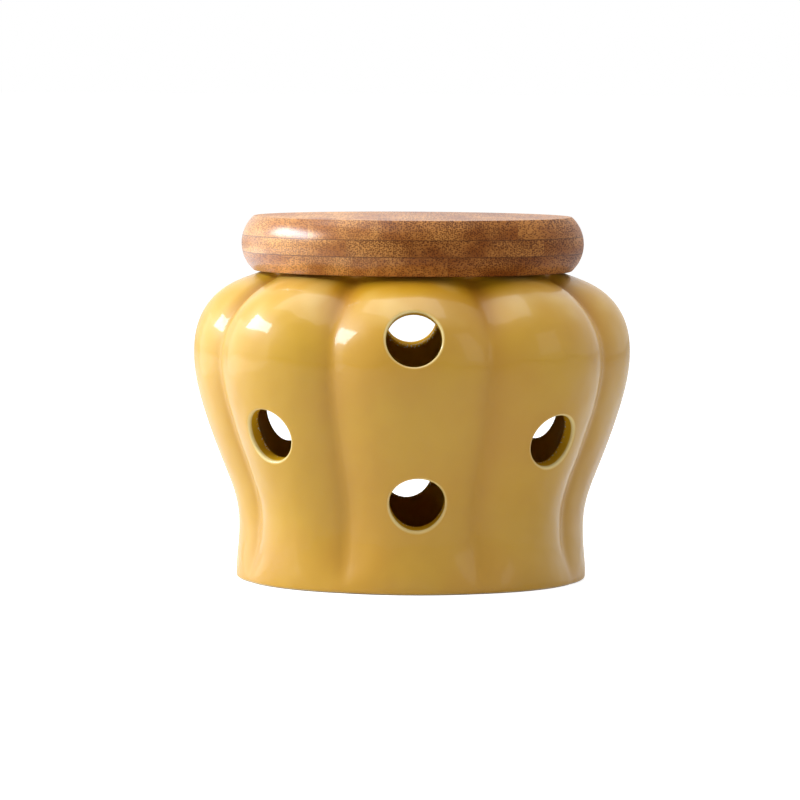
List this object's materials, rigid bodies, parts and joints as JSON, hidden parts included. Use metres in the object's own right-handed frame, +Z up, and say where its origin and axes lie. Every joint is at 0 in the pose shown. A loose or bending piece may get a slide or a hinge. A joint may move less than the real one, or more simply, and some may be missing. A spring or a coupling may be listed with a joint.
{
  "type": "garlic keeper",
  "caption": "Lobed, vented ceramic jar for garlic with a thick round bamboo lid that lifts off; the lid's plug carries a seal ring.",
  "frame": {"origin": "middle of the foot, on the surface that the jar stands on", "axes": "+Z up along the jar's axis, -Y the front with a group of four vents, +X to the right seen from the front"},
  "size_m": [0.1326, 0.1326, 0.11],
  "materials": {
    "glaze": "clear gloss over golden yellow",
    "bamboo": "carbonised bamboo, satin lacquer",
    "silicone": "translucent white, matt"
  },
  "bodies": {
    "jar": {"jar": "glaze"},
    "seal": {"seal_ring": "silicone"},
    "lid": {"lid_top_strip_1": "bamboo", "lid_top_strip_2": "bamboo", "lid_top_strip_3": "bamboo", "lid_top_strip_4": "bamboo", "lid_top_strip_5": "bamboo", "lid_core_strip_1": "bamboo", "lid_core_strip_2": "bamboo", "lid_core_strip_3": "bamboo", "lid_core_strip_4": "bamboo", "lid_core_strip_5": "bamboo", "lid_core_strip_6": "bamboo", "lid_bottom_strip_1": "bamboo", "lid_bottom_strip_2": "bamboo", "lid_bottom_strip_3": "bamboo", "lid_bottom_strip_4": "bamboo", "lid_bottom_strip_5": "bamboo", "lid_plug_strip_1": "bamboo", "lid_plug_strip_2": "bamboo", "lid_plug_strip_3": "bamboo", "lid_plug_strip_4": "bamboo"}
  },
  "joints": [
    {"name": "lid_lift", "type": "slide", "parent": "jar", "child": "seal", "axis": [0, 0, 1], "range_m": [0, 0.1]},
    {"name": "lid_turn", "type": "hinge", "parent": "seal", "child": "lid", "pos_m": [0, 0, 0.1], "axis": [0, 0, 1], "continuous": true}
  ]
}
